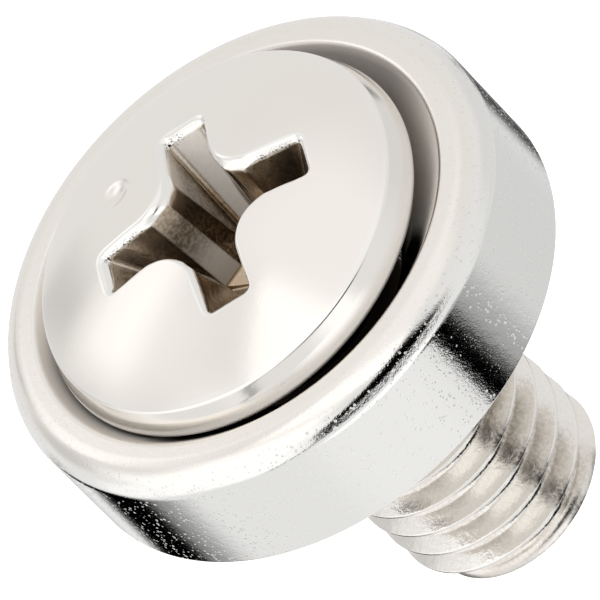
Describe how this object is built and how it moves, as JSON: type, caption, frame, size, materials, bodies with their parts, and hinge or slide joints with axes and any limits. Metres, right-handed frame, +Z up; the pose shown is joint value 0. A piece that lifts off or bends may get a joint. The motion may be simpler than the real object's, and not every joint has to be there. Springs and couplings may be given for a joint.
{
  "type": "panel screw",
  "caption": "Raised countersunk machine screw with a cross recess, carrying a thick loose cup washer that spreads the head's load on a panel.",
  "frame": {"origin": "on the surface the screw lies on, under the middle of its length and width", "axes": "+Z up; the screw lies in the YZ plane with its head towards -Y and its tip towards +Y"},
  "size_m": [0.0144, 0.016, 0.0143],
  "materials": {
    "screw_plating": "bright nickel plating, satin on the head, with small pits",
    "washer_plating": "bright nickel plating, mirror bright on the turned wall, with small pits"
  },
  "bodies": {
    "screw": {"screw": "screw_plating"},
    "washer": {"washer": "washer_plating"}
  },
  "joints": [
    {"name": "washer_spin", "type": "hinge", "parent": "screw", "child": "washer", "pos_m": [0, -0.00159, 0.00639], "axis": [0, -0.8815, 0.4722], "continuous": true}
  ]
}
